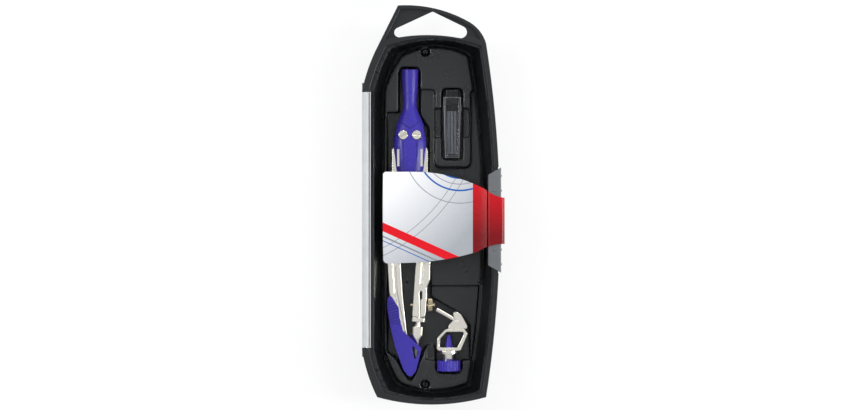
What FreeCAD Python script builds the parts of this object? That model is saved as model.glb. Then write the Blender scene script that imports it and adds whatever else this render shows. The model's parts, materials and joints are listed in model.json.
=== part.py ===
import FreeCAD, Part
import math
import os

from FreeCAD import Placement, Rotation, Vector

# Drafting instrument case: a black moulded case with a hang handle and a clear hinged lid, a moulded
# tray, and in the tray a compass, a box of spare leads and a pencil adapter.
# Frame: the case lies on its back. X runs across it, Y towards the handle, Z out of the front.

SIZES = {
    # Case shell
    "case_width": 76.0,
    "case_length": 220.0,
    "rim_height": 24.8,
    "lip_depth": 2.2,
    "shell_wall": 1.6,
    "shell_floor": 1.6,
    "ledge_height": 6.0,
    "ledge_width": 1.5,
    "top_corner_drop": 21.0,
    "left_top_inset": 9.4,
    "left_straight_top": 47.0,
    "left_straight_bottom": 30.0,
    "left_foot_inset": 8.3,
    "right_corner_inset": 7.6,
    "bottom_corner_rise": 4.1,
    "bowl_crown": 4.8,
    "side_crown": 7.6,
    "shoulder_crown": 1.0,
    # Hang handle
    "handle_plate": 2.2,
    "handle_bead": 1.9,
    "handle_recess": 1.8,
    "handle_peak_x": 18.2,
    "handle_knee_x": 21.4,
    "handle_knee_drop": 9.3,
    "handle_crown": 3.0,
    "handle_knee_crown": 1.4,
    "hang_hole_base": 12.0,
    "hang_hole_rise": 14.4,
    # Lid, hinge and latch
    "lid_sheet": 1.4,
    "lid_sink": 0.4,
    "lid_skirt": 1.0,
    "skirt_depth": 2.0,
    "lid_gap": 0.3,
    "lid_swing_gap": 0.8,
    "lid_end_clear": 3.3,
    "barrel_radius": 2.2,
    "barrel_length": 140.4,
    "barrel_top_drop": 48.0,
    "barrel_gap": 0.3,
    "pin_radius": 0.8,
    "pin_gap": 0.06,
    "lug_length": 5.0,
    "latch_length": 58.0,
    "latch_centre": -8.3,
    "latch_pivot_inset": 5.4,
    "latch_knuckle": 1.2,
    "latch_wall": 1.3,
    "latch_drop": 8.6,
    "latch_end_slant": 4.6,
    "latch_pin_radius": 0.5,
    "hook_reach": 0.4,
    "grip_dome": 0.9,
    "card_thickness": 0.35,
    "tab_drop": 18.0,
    # Tray
    "flange_thickness": 1.2,
    "flange_gap": 0.3,
    "platform_height": 10.6,
    "shelf_height": 7.6,
    "step_height": 5.2,
    "pocket_floor": 3.2,
    "platform_round": 0.6,
    "stud_radius": 1.5,
    "stud_head": 2.1,
    "stud_rise": 1.6,
    "tray_sheet": 1.6,
    "core_corner": 3.0,
    # Compass
    "compass_x": -11.7,
    "pivot_y": 38.9,
    "pivot_spacing": 7.6,
    "head_thickness": 11.0,
    "leg_thickness": 4.6,
    "leg_gap": 0.1,
    "grip_length": 60.6,
    "pivot_screw_radius": 1.5,
    "pivot_head_radius": 2.5,
    "pivot_head_depth": 1.1,
    "pivot_sink": 0.7,
    "pivot_slot": 0.7,
    "nut_depth": 0.65,
    "flute_width": 1.6,
    "flute_depth": 0.6,
    "channel_depth": 2.6,
    "guard_thickness": 7.0,
    "guard_gap": 0.2,
    "needle_radius": 0.5,
    "needle_point": 3.0,
    "clamp_wheel_radius": 3.8,
    "clamp_wheel_width": 2.4,
    "clamp_screw_radius": 1.0,
    "clamp_screw_end": 1.4,
    "holder_tilt": 4.0,
    "holder_collar": 4.2,
    "chuck_radius": 3.5,
    "lead_radius": 1.0,
    "lead_point": 2.6,
    # Lead box
    "box_x": 11.8,
    "box_top": 60.0,
    "box_length": 33.6,
    "box_width": 9.6,
    "box_taper": 0.95,
    "box_depth": 8.4,
    "box_wall": 0.9,
    "plug_length": 4.0,
    # Pencil adapter
    "adapter_x": 9.9,
    "ring_foot": -80.8,
    "ring_height": 8.0,
    "ring_length": 12.0,
    "ring_strap": 1.6,
    "knob_radius": 6.6,
    "knob_length": 5.8,
    "collar_length": 1.9,
    "ferrule_length": 3.8,
    "adapter_screw_radius": 1.6,
    "rod_radius": 1.5,
    "rod_length": 11.0,
    "bracket_plate": 2.8,
    "tip_base": 2.2,
    "tip_end": 1.0,
    "tip_length": 6.8,
    # Fits
    "run_gap": 0.05,
    "seat_gap": 0.3,
}

doc = FreeCAD.newDocument("InstrumentCase")
sheet = doc.addObject("Spreadsheet::Sheet", "Dimensions")
for row, (alias, value) in enumerate(SIZES.items(), start=1):
    sheet.set(f"A{row}", alias.replace("_", " "))
    sheet.set(f"B{row}", str(value))
    sheet.setAlias(f"B{row}", alias)
doc.recompute()


class Sheet:
    """The sheet's numbers, read back by alias."""

    def __getattr__(self, alias):
        return float(sheet.get(alias))


d = Sheet()
PARTS = []
EPS = 0.01
SLOPE_ROOM = 0.7


def keep(made, label):
    made.Label = label
    PARTS.append(made)
    return made


# Outlines

def bulged(start, end, bulge):
    """The middle point of an arc from start to end that stands out to the left by bulge."""
    along = Vector(*end, 0) - Vector(*start, 0)
    middle = (Vector(*start, 0) + Vector(*end, 0)) * 0.5
    out = Vector(-along.y, along.x, 0).normalize() * bulge
    return (middle.x + out.x, middle.y + out.y)


def rounded(corners, bulges=None):
    """A closed outline through corners (x, y, radius): its start point, then lines and corner arcs."""
    bulges = bulges or {}
    points = [Vector(x, y, 0) for x, y, _ in corners]
    count = len(points)
    ends = []
    for i, point in enumerate(points):
        before = (points[i - 1] - point).normalize()
        after = (points[(i + 1) % count] - point).normalize()
        radius = corners[i][2]
        half = before.getAngle(after) / 2
        run = radius / math.tan(half)
        centre = point + (before + after).normalize() * (radius / math.sin(half))
        middle = centre + (point - centre).normalize() * radius if radius else point
        ends.append((point + before * run, middle, point + after * run, radius))
    start = ends[0][2]
    path = []
    at = start
    for i in list(range(1, count)) + [0]:
        first, middle, last, radius = ends[i]
        edge = (i - 1) % count
        if edge in bulges:
            path.append((bulged((at.x, at.y), (first.x, first.y), bulges[edge]), (first.x, first.y)))
        else:
            path.append(((first.x, first.y),))
        if radius > 0:
            path.append(((middle.x, middle.y), (last.x, last.y)))
        at = last
    return (start.x, start.y), path


def draw(sketch, outline):
    start, path = outline
    at = Vector(*start, 0)
    for piece in path:
        end = Vector(*piece[-1], 0)
        if len(piece) == 1:
            sketch.addGeometry(Part.LineSegment(at, end), False)
        else:
            sketch.addGeometry(Part.Arc(at, Vector(*piece[0], 0), end), False)
        at = end
    return sketch


def box_outline(x0, y0, x1, y1, radius=0.0):
    return rounded([(x0, y0, radius), (x1, y0, radius), (x1, y1, radius), (x0, y1, radius)])


def circle(sketch, x, y, radius):
    sketch.addGeometry(Part.Circle(Vector(x, y, 0), Vector(0, 0, 1), radius), False)
    return sketch


# Bodies and features

def new_body(label):
    return keep(doc.addObject("PartDesign::Body", label), label)


def new_sketch(body, name, role="XY_Plane", height="0"):
    made = body.newObject("Sketcher::SketchObject", name)
    support = next(f for f in body.Origin.OriginFeatures if f.Role == role)
    made.AttachmentSupport = [(support, "")]
    made.MapMode = "FlatFace"
    made.setExpression("AttachmentOffset.Base.z", height)
    return made


def pad(body, sketch, length, reverse=False):
    made = body.newObject("PartDesign::Pad", sketch.Name + "Pad")
    made.Profile = sketch
    made.setExpression("Length", length)
    made.Reversed = reverse
    sketch.Visibility = False
    return made


def pocket(body, sketch, length, reverse=False):
    made = body.newObject("PartDesign::Pocket", sketch.Name + "Cut")
    made.Profile = sketch
    made.setExpression("Length", length)
    made.Reversed = reverse
    return made


def plain_loft(body, kind, sections):
    made = body.newObject(f"PartDesign::{kind}", sections[0].Name + "Loft")
    made.Profile = sections[0]
    made.Sections = sections[1:]
    made.Ruled = True
    return made


def cell(alias):
    return f"Dimensions.{alias}"


def primitive(kind, name, place, turn=None, **sizes):
    """A plain solid with its sizes bound to the sheet, set at a place and turned (axis, degrees)."""
    made = doc.addObject(f"Part::{kind}", name)
    for size, source in sizes.items():
        made.setExpression(size, source)
    made.Placement = Placement(Vector(*place), Rotation(Vector(*turn[0]), turn[1]) if turn else Rotation())
    return made


def group(kind, name, shapes):
    made = doc.addObject(f"Part::{kind}", name)
    if kind == "Compound":
        made.Links = shapes
    else:
        made.Shapes = shapes
    return made


def cut(name, base, tool):
    made = doc.addObject("Part::Cut", name)
    made.Base = base
    made.Tool = tool
    return made


LID_BOTTOM = f"{cell('rim_height')} - {cell('lid_sink')} - {cell('lid_sheet')}"
LIP_BOTTOM = f"{cell('rim_height')} - {cell('lip_depth')}"
BARREL_TOP = f"{cell('barrel_top_drop')} - {cell('case_length')} / 2"
LATCH_END = f"-({cell('latch_centre')} + {cell('latch_length')} / 2)"
COMPASS_MIDDLE = f"{cell('pocket_floor')} + {cell('head_thickness')} / 2"
LEG_BACK = f"{COMPASS_MIDDLE} - {cell('leg_thickness')} / 2"
LEG_FRONT = f"{COMPASS_MIDDLE} + {cell('leg_thickness')} / 2"
ADAPTER_MIDDLE = f"{cell('pocket_floor')} + {cell('knob_radius')}"
TRAY_SEAT = f"{cell('ledge_height')} + {cell('flange_thickness')}"
ALONG_X = ((0, 1, 0), 90)
ALONG_Y = ((1, 0, 0), -90)

# Levels and lines that several pieces share
half = d.case_width / 2
top = d.case_length / 2
lip_bottom = d.rim_height - d.lip_depth
lid_top = d.rim_height - d.lid_sink
lid_bottom = lid_top - d.lid_sheet
hinge_x = -half + d.barrel_radius
hinge_z = d.rim_height - d.barrel_radius
barrel_end = top - d.barrel_top_drop
barrel_start = barrel_end - d.barrel_length
latch_x = half - d.latch_pivot_inset
latch_z = lid_top + d.latch_knuckle + d.seat_gap
compass_z = d.pocket_floor + d.head_thickness / 2
adapter_z = d.pocket_floor + d.knob_radius


def bowl(left, right, upper, lower):
    """The bowl's outline drawn in by so much on each side: crowned top and foot, a long bowed right side
    and a straight hinge side with sloped ends."""
    corners = [
        (-half + d.left_top_inset + left, top - d.top_corner_drop - upper),
        (half - d.right_corner_inset - right, top - d.top_corner_drop - upper),
        (half - d.right_corner_inset - right, -top + d.bottom_corner_rise + lower),
        (-half + d.left_foot_inset + left, -top + d.bottom_corner_rise + lower),
        (-half + left, -top + d.left_straight_bottom),
        (-half + left, top - d.left_straight_top),
    ]
    crowns = [d.bowl_crown, d.side_crown, d.bottom_corner_rise, d.shoulder_crown, 0, d.shoulder_crown]
    path = []
    for i, crown in enumerate(crowns):
        start, end = corners[i], corners[(i + 1) % len(corners)]
        path.append((bulged(start, end, crown), end) if crown else (end,))
    return corners[0], path


# How far the cavity stands in from the rim's edge: left, right, top and foot, at the lid's seat and at the
# tray's ledge.
SEAT_IN = (6.1, 3.1, 2.7, 3.3)
LEDGE_IN = (10.5, 8.0, 4.3, 5.3)
LID_IN = (4.6, 2.5, 1.9, 2.4)


def inset(base, more):
    return bowl(*(side + more for side in base))


def wall_in(height):
    """The shell's outside at a height: the cavity's sloping sides, moved out by the wall."""
    share = (height - d.ledge_height) / (lid_bottom - d.ledge_height)
    return [low + (high - low) * share - d.shell_wall for low, high in zip(LEDGE_IN, SEAT_IN)]


def handle_corners():
    right = half - d.right_corner_inset
    return [
        (-half + d.left_top_inset, top - d.top_corner_drop),
        (-d.handle_peak_x, top),
        (d.handle_knee_x, top - d.handle_knee_drop),
        (right, top - d.top_corner_drop),
    ]


def drawn_in(before, corner, after, amount):
    """A corner moved in from both of its sides by an amount, on the right of the way round."""
    one = (Vector(*corner, 0) - Vector(*before, 0)).normalize()
    two = (Vector(*after, 0) - Vector(*corner, 0)).normalize()
    side = Vector(one.y, -one.x, 0) + Vector(two.y, -two.x, 0)
    moved = Vector(*corner, 0) + side * (amount / (1 + one.dot(two)))
    return (moved.x, moved.y)


# Case shell

def base_shell():
    body = new_body("base_shell")
    upper = draw(new_sketch(body, "WallTop", height=LIP_BOTTOM), bowl(*wall_in(lip_bottom)))
    lower = draw(new_sketch(body, "WallFoot"), bowl(*wall_in(0)))
    plain_loft(body, "AdditiveLoft", [upper, lower])
    lip = draw(new_sketch(body, "Lip", height=LIP_BOTTOM), bowl(0, 0, 0, 0))
    pad(body, lip, cell("lip_depth"))

    corners = handle_corners()
    crown = bulged(corners[1], corners[2], d.handle_crown)
    knee = bulged(corners[2], corners[3], d.handle_knee_crown)
    outside = [(corners[1],), (crown, corners[2]), (knee, corners[3]), (corners[0],)]
    plate_bottom = f"{cell('rim_height')} - {cell('handle_recess')} - {cell('handle_plate')}"
    plate = draw(new_sketch(body, "Handle", height=plate_bottom), (corners[0], outside))
    pad(body, plate, f"{cell('handle_recess')} + {cell('handle_plate')}")
    bead = d.handle_bead
    low_left = drawn_in(corners[3], corners[0], corners[1], bead)
    peak = drawn_in(corners[0], corners[1], crown, bead)
    knee_in = drawn_in(crown, corners[2], knee, bead)
    low_right = drawn_in(knee, corners[3], corners[0], bead)
    face = [
        (peak,),
        (bulged(peak, knee_in, d.handle_crown - 0.2), knee_in),
        (bulged(knee_in, low_right, d.handle_knee_crown - 0.2), low_right),
        (bulged(low_right, low_left, -d.bowl_crown), low_left),
    ]
    recess = draw(new_sketch(body, "HandleFace", height=cell("rim_height")), (low_left, face))
    pocket(body, recess, cell("handle_recess"))
    hole_foot = top - d.top_corner_drop + d.hang_hole_base / 4
    hang = rounded([
        (-29.8, hole_foot + 0.6, 2.8),
        (0.9, hole_foot + d.hang_hole_rise + 0.4, 1.6),
        (32.0, hole_foot - 0.3, 3.5),
    ], {2: -1.5})
    hole = draw(new_sketch(body, "HangHole", height=cell("rim_height")), hang)
    pocket(body, hole, f"{cell('handle_recess')} + {cell('handle_plate')} + 1")

    seat = draw(new_sketch(body, "CavityTop", height=cell("rim_height")), bowl(*SEAT_IN))
    ledge = draw(new_sketch(body, "CavityLedge", height=cell("ledge_height")), bowl(*LEDGE_IN))
    plain_loft(body, "SubtractiveLoft", [seat, ledge])
    well = draw(new_sketch(body, "Well", height=cell("ledge_height")), inset(LEDGE_IN, d.ledge_width))
    pocket(body, well, f"{cell('ledge_height')} - {cell('shell_floor')}")
    rebate = draw(new_sketch(body, "LidSeat", height=cell("rim_height")), bowl(
        LID_IN[0] - d.lid_swing_gap, *(side - d.lid_gap for side in LID_IN[1:])))
    pocket(body, rebate, f"{cell('lid_sink')} + {cell('lid_sheet')}")

    channel = draw(new_sketch(body, "HingeChannel", height=f"{cell('rim_height')} + 1"), box_outline(
        -half - 1, barrel_start - d.barrel_gap, hinge_x + d.barrel_radius + d.barrel_gap,
        barrel_end + d.barrel_gap))
    pocket(body, channel, f"2 * {cell('barrel_radius')} + {cell('barrel_gap')} + 1")
    for name, start in (("Upper", barrel_end + d.barrel_gap),
                        ("Lower", barrel_start - d.barrel_gap - d.lug_length)):
        lug = body.newObject("PartDesign::AdditiveCylinder", name + "Lug")
        lug.setExpression("Radius", cell("barrel_radius"))
        lug.setExpression("Height", cell("lug_length"))
        lug.Placement = Placement(Vector(hinge_x, start, hinge_z), Rotation(Vector(*ALONG_Y[0]), ALONG_Y[1]))
        bore = body.newObject("PartDesign::SubtractiveCylinder", name + "LugBore")
        bore.setExpression("Radius", cell("pin_radius"))
        bore.setExpression("Height", cell("lug_length"))
        bore.Placement = lug.Placement
    notch = draw(new_sketch(body, "LatchNotch", height=f"{cell('rim_height')} + 1"), box_outline(
        latch_x + d.latch_pivot_inset - 1.0, d.latch_centre - d.latch_length / 2 - d.seat_gap,
        half + 1, d.latch_centre + d.latch_length / 2 + d.seat_gap))
    pocket(body, notch, f"{cell('lip_depth')} + 1.01")
    return body


def hinge():
    pin = primitive("Cylinder", "HingePin", (hinge_x, barrel_start - d.barrel_gap - d.lug_length, hinge_z),
                    ALONG_Y, Radius=cell("pin_radius"),
                    Height=f"{cell('barrel_length')} + 2 * {cell('barrel_gap')} + 2 * {cell('lug_length')}")
    keep(pin, "hinge_pin")
    body = new_body("hinge_barrel")
    ring = new_sketch(body, "BarrelRing", "XZ_Plane", BARREL_TOP)
    circle(ring, hinge_x, hinge_z, d.barrel_radius)
    circle(ring, hinge_x, hinge_z, d.pin_radius + d.pin_gap)
    pad(body, ring, cell("barrel_length"))
    slot = new_sketch(body, "LidSlot", "XZ_Plane", BARREL_TOP)
    draw(slot, box_outline(*lid_tongue()))
    pocket(body, slot, cell("barrel_length"), True)


def lid_tongue():
    """The lid's tongue in the hinge barrel: x and z of two corners."""
    deep = hinge_x + d.pin_radius + d.pin_gap + 0.4
    return (deep, lid_bottom + 0.2, -half + LID_IN[0] + EPS, lid_top - 0.2)


def lid():
    body = new_body("lid")
    sheet_sketch = draw(new_sketch(body, "LidSheet", height=LID_BOTTOM), bowl(*LID_IN))
    pad(body, sheet_sketch, cell("lid_sheet"))
    skirt = new_sketch(body, "LidSkirt", height=LID_BOTTOM)
    draw(skirt, inset(SEAT_IN, d.lid_gap + SLOPE_ROOM))
    draw(skirt, inset(SEAT_IN, d.lid_gap + SLOPE_ROOM + d.lid_skirt))
    pad(body, skirt, cell("skirt_depth"), True)
    tongue = new_sketch(body, "LidTongue", "XZ_Plane", BARREL_TOP)
    draw(tongue, box_outline(*lid_tongue()))
    pad(body, tongue, cell("barrel_length"))
    for name, low in (("Upper", barrel_end), ("Lower", barrel_start - 2 * d.lug_length)):
        trim = draw(new_sketch(body, name + "SwingTrim", height=cell("rim_height")), box_outline(
            -half, low, hinge_x + d.lid_end_clear, low + 2 * d.lug_length))
        pocket(body, trim, cell("rim_height"))
    for name, (low, high) in zip(("Lower", "Upper"), lid_knuckles()):
        post = new_sketch(body, name + "Knuckle", "XZ_Plane", str(-high))
        draw(post, knuckle_outline(lid_bottom))
        pad(body, post, str(high - low))
        hole = circle(new_sketch(body, name + "KnuckleBore", "XZ_Plane", str(-high)), latch_x, latch_z,
                      d.latch_pin_radius + d.run_gap)
        pocket(body, hole, str(high - low), True)


def knuckle_outline(foot):
    """A hinge eye on a post that reaches down to foot, in x and z."""
    eye = d.latch_knuckle
    over = (latch_x, latch_z + eye)
    return (latch_x - eye, foot), [
        ((latch_x + eye, foot),),
        ((latch_x + eye, latch_z),),
        (over, (latch_x - eye, latch_z)),
        ((latch_x - eye, foot),),
    ]


def lid_knuckles():
    """Where the lid's two eyes stand along the latch's pin."""
    near, far = d.latch_length * 0.08, d.latch_length * 0.2
    return [(d.latch_centre - far, d.latch_centre - near), (d.latch_centre + near, d.latch_centre + far)]


def latch():
    length = d.latch_length
    wall_x = half - 1.0 + d.seat_gap
    outer_x = wall_x + d.latch_wall
    lip_low, lip_high = d.rim_height + d.seat_gap, latch_z + d.latch_knuckle
    hook_top = lip_bottom - d.seat_gap
    hook_x = wall_x - d.hook_reach
    foot = lip_high - d.latch_drop
    body = new_body("latch")
    profile = new_sketch(body, "LatchProfile", "XZ_Plane", LATCH_END)
    draw(profile, ((latch_x, lip_high), [
        ((latch_x - d.latch_knuckle, latch_z), (latch_x, latch_z - d.latch_knuckle)),
        ((latch_x + d.latch_knuckle, lip_low),),
        ((wall_x, lip_low),),
        ((wall_x, hook_top),),
        ((hook_x + 0.3, hook_top),),
        ((hook_x, hook_top - 0.3),),
        ((hook_x, hook_top - 0.8),),
        ((wall_x, hook_top - 1.6),),
        ((wall_x, foot),),
        ((outer_x, foot),),
        ((outer_x, lip_high - 0.8),),
        ((outer_x - 0.25, lip_high - 0.25), (outer_x - 0.8, lip_high)),
        ((latch_x, lip_high),),
    ]))
    pad(body, profile, cell("latch_length"))
    for name, (low, high) in zip(("Lower", "Upper"), lid_knuckles()):
        gap = draw(new_sketch(body, name + "EyeGap", height=cell("rim_height") + " + 5"), box_outline(
            latch_x - d.latch_knuckle - 1, low - d.seat_gap,
            latch_x + d.latch_knuckle + d.seat_gap, high + d.seat_gap))
        pocket(body, gap, "6")
    bore = new_sketch(body, "LatchBore", "XZ_Plane", LATCH_END)
    circle(bore, latch_x, latch_z, d.latch_pin_radius)
    pocket(body, bore, cell("latch_length"), True)
    ends = new_sketch(body, "LatchEnds", height=cell("rim_height") + " + 5")
    for sign in (1, -1):
        end = d.latch_centre + sign * length / 2
        inner_x = latch_x - 2
        draw(ends, ((inner_x, end + sign), [
            ((outer_x + 1, end + sign),),
            ((outer_x, end),),
            ((inner_x, end - sign * d.latch_end_slant),),
            ((inner_x, end + sign),),
        ]))
    pocket(body, ends, "30")
    pin = primitive("Cylinder", "LatchPin", (latch_x, d.latch_centre - length / 2 + 4.5, latch_z), ALONG_Y,
                    Radius=cell("latch_pin_radius"), Height=cell("latch_length") + " - 9")
    keep(pin, "latch_pin")
    domes = []
    for along in (0.42, 0.28, -0.28, -0.42):
        domes.append(primitive("Sphere", "GripDome", (outer_x - 0.45, d.latch_centre + along * length,
                                                      lip_high - 2.2), Radius=cell("grip_dome")))
    for along in (0.28, -0.28):
        domes.append(primitive("Sphere", "LipDome", (latch_x + 2.3, d.latch_centre + along * length,
                                                     lip_high - 0.45), Radius=cell("grip_dome")))
    PARTS.remove(body)
    body.Label = "LatchClip"
    keep(group("MultiFuse", "LatchWithDomes", [body] + domes), "latch")


def card():
    """The card band: a panel on the lid and a tab over the latch, parted on a tear line at the hinge."""
    sheet_z, thick = lid_top, d.card_thickness
    clear = d.latch_knuckle + 0.15
    sweep = clear + thick + 0.35
    edge_x = latch_x - sweep * math.cos(math.radians(30))
    edge_z = latch_z + sweep * math.sin(math.radians(30)) - thick
    ramp_x, ramp_z = latch_x - 13.0, sheet_z
    left = -26.6
    middle = bulged((ramp_x, ramp_z), (edge_x, edge_z), -0.55)
    middle_up = (middle[0], middle[1] + thick)
    body = new_body("card_panel")
    profile = new_sketch(body, "PanelProfile", "XZ_Plane", "-30")
    draw(profile, ((left, sheet_z), [
        ((ramp_x, ramp_z),), (middle, (edge_x, edge_z)), ((edge_x, edge_z + thick),),
        (middle_up, (ramp_x, ramp_z + thick)), ((left, sheet_z + thick),), ((left, sheet_z),)]))
    pad(body, profile, "80")
    trim_card(body, edge_x + 2)

    body = new_body("card_tab")
    turn = math.radians(140)

    def on_curl(angle, reach):
        return (latch_x + reach * math.cos(angle), latch_z + reach * math.sin(angle))

    start = on_curl(turn, clear)
    start_out = on_curl(turn, clear + thick)
    side = math.radians(115)
    over = latch_z + clear
    corner = 1.6
    right = half + 2.2
    foot = over - d.tab_drop
    profile = new_sketch(body, "TabProfile", "XZ_Plane", "-30")
    slant = math.sqrt(0.5)
    draw(profile, (start, [
        (on_curl(side, clear), (latch_x, over)),
        ((right - corner, over),),
        ((right - corner + corner * slant, over - corner + corner * slant), (right, over - corner)),
        ((right, foot),),
        ((right + thick, foot),),
        ((right + thick, over - corner),),
        ((right - corner + (corner + thick) * slant, over - corner + (corner + thick) * slant),
         (right - corner, over + thick)),
        ((latch_x, over + thick),),
        (on_curl(side, clear + thick), start_out),
        (start,),
    ]))
    pad(body, profile, "80")
    trim_card(body, half + 6)


def trim_card(body, reach):
    """Cuts the card to the band's outline: square on the left, drawn in towards the latch."""
    frame = new_sketch(body, body.Label + "Trim", height=cell("rim_height") + " + 10")
    draw(frame, box_outline(-40, -60, reach + 20, 40))
    draw(frame, ((-24.6, 18.3), [
        ((-8.0, 18.3),),
        ((12.0, 15.6), (29.7, 8.8)),
        ((35.5, 5.2), (41.5, 3.9)),
        ((reach + 10, 3.9),),
        ((reach + 10, -21.3),),
        ((37.0, -21.5),),
        ((31.0, -23.0), (26.0, -25.6)),
        ((8.0, -29.9), (-10.0, -31.8)),
        ((-24.0, -32.2),),
        ((-25.7, -31.4), (-26.3, -29.5)),
        ((-26.58, -8.0), (-26.4, 16.4)),
        ((-25.9, 17.8), (-24.6, 18.3)),
    ]))
    pocket(body, frame, "60")


# Tray

def tray():
    body = new_body("tray_insert")
    flange = draw(new_sketch(body, "Flange", height=cell("ledge_height")), inset(LEDGE_IN, d.flange_gap))
    pad(body, flange, cell("flange_thickness"))
    block = draw(new_sketch(body, "Block", height=cell("shell_floor")),
                 inset(LEDGE_IN, d.ledge_width + d.flange_gap))
    pad(body, block, f"{cell('platform_height')} - {cell('shell_floor')}")
    doc.recompute()
    blank = body.Tip
    edges = [f"Edge{i + 1}" for i, edge in enumerate(blank.Shape.Edges)
             if abs(edge.BoundBox.Center.z - d.platform_height) < EPS]
    rim = body.newObject("PartDesign::Fillet", "PlatformRound")
    rim.Base = (blank, edges)
    rim.setExpression("Radius", cell("platform_round"))
    body.Tip = rim
    level(body, "GripPocket", box_outline(-18.2, 40.0, -5.9, 76.8, 3.2), "pocket_floor")
    compass_pocket = rounded([
        (-24.8, 51.7, 1.2), (-7.0, 51.7, 0), (-0.9, 43.0, 4.0), (-0.9, 14.0, 8.0), (0.1, 8.0, 8.0),
        (0.1, -51.0, 1.0), (13.2, -58.6, 2.0), (21.8, -67.0, 2.0), (21.8, -86.4, 1.0), (17.4, -86.4, 1.0),
        (17.4, -93.6, 3.6), (2.4, -93.6, 3.6), (2.4, -78.2, 1.7), (-2.4, -78.2, 1.7), (-11.2, -100.2, 2.0),
        (-19.6, -85.6, 1.5), (-24.8, -81.8, 1.0)])
    level(body, "CompassPocket", compass_pocket, "pocket_floor")
    shelf = rounded([
        (-14.0, 64.3, 0), (2.3, 64.3, 2.2), (2.3, 20.9, 3.0), (22.0, 20.9, 3.0), (22.0, 63.8, 1.0),
        (34.0, 63.8, 0), (34.0, -45.1, 0), (-14.0, -45.1, 0)])
    level(body, "Shelf", shelf, "shelf_height")
    level(body, "Step", box_outline(-3.0, -86.4, 34.0, -45.0), "step_height")
    side = d.box_width / 2 + 1.2
    level(body, "BoxPocket", box_outline(d.box_x - side, d.box_top - d.box_length - 1.6, d.box_x + side,
                                         d.box_top + 5.0, 2.6), "pocket_floor")
    for sign in (-1, 1):
        edge = d.box_x + sign * (side + 1.6)
        name = "LeftNotch" if sign < 0 else "RightNotch"
        level(body, name, box_outline(edge - 2.2, 37.4, edge + 2.2, 53.9, 1.5), "step_height")
    cores = new_sketch(body, "Cores", height=cell("shell_floor"))
    draw(cores, box_outline(-3.0, 68.0, 18.5, 82.0, d.core_corner))
    pocket(body, cores, f"{cell('platform_height')} - {cell('shell_floor')} - {cell('tray_sheet')}", True)
    under = new_sketch(body, "ShelfCore", height=cell("shell_floor"))
    draw(under, box_outline(3.0, -42.0, 23.0, 18.0, d.core_corner))
    pocket(body, under, f"{cell('shelf_height')} - {cell('shell_floor')} - {cell('tray_sheet')}", True)
    for name, (x, y) in stud_places().items():
        hole = circle(new_sketch(body, name + "StudHole", height=cell("platform_height") + " + 1"), x, y,
                      d.stud_head + 0.4)
        pocket(body, hole, f"{cell('platform_height')} + 1 - ({TRAY_SEAT})")
        through = circle(new_sketch(body, name + "StudWay", height=cell("platform_height") + " + 1"), x, y,
                         d.stud_radius + 0.15)
        pocket(body, through, f"{cell('platform_height')} + 1")


def level(body, name, outline, height):
    sketch = draw(new_sketch(body, name, height=cell("rim_height")), outline)
    pocket(body, sketch, f"{cell('rim_height')} - {cell(height)}")


def stud_places():
    """The two split studs that hold the tray down, on the case's middle line at its top and foot."""
    upper = top - d.top_corner_drop + d.bowl_crown - LEDGE_IN[2] - 4.2
    lower = -top + LEDGE_IN[3] + 4.6
    return {"Upper": (-3.2, upper), "Lower": (-3.2, lower)}


def studs():
    shapes = []
    for name, (x, y) in stud_places().items():
        shank = primitive("Cylinder", name + "Shank", (x, y, d.shell_floor), Radius=cell("stud_radius"),
                          Height=f"{TRAY_SEAT} - {cell('shell_floor')}")
        head = primitive("Cone", name + "StudHead", (x, y, d.ledge_height + d.flange_thickness),
                         Radius1=cell("stud_head"), Radius2=cell("stud_radius"), Height=cell("stud_rise"))
        slit = primitive("Box", name + "Slit", (x - 0.3, y - 4, d.ledge_height), Length="0.6", Width="8",
                         Height="6")
        shapes.append(cut(name + "Stud", group("MultiFuse", name + "StudForm", [shank, head]), slit))
    keep(group("Compound", "TrayStuds", shapes), "tray_studs")


# Compass

GRIP_RINGS = (
    # share of the grip's length from its free end, half width, half depth
    (0.0, 4.6, 4.2), (0.12, 4.35, 4.0), (0.27, 3.75, 3.65), (0.36, 4.0, 3.8), (0.45, 6.2, 4.8),
    (0.54, 8.4, 5.6), (0.66, 9.75, 6.1), (0.79, 9.2, 6.1), (0.9, 8.4, 5.9), (1.0, 6.6, 5.6))


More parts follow.
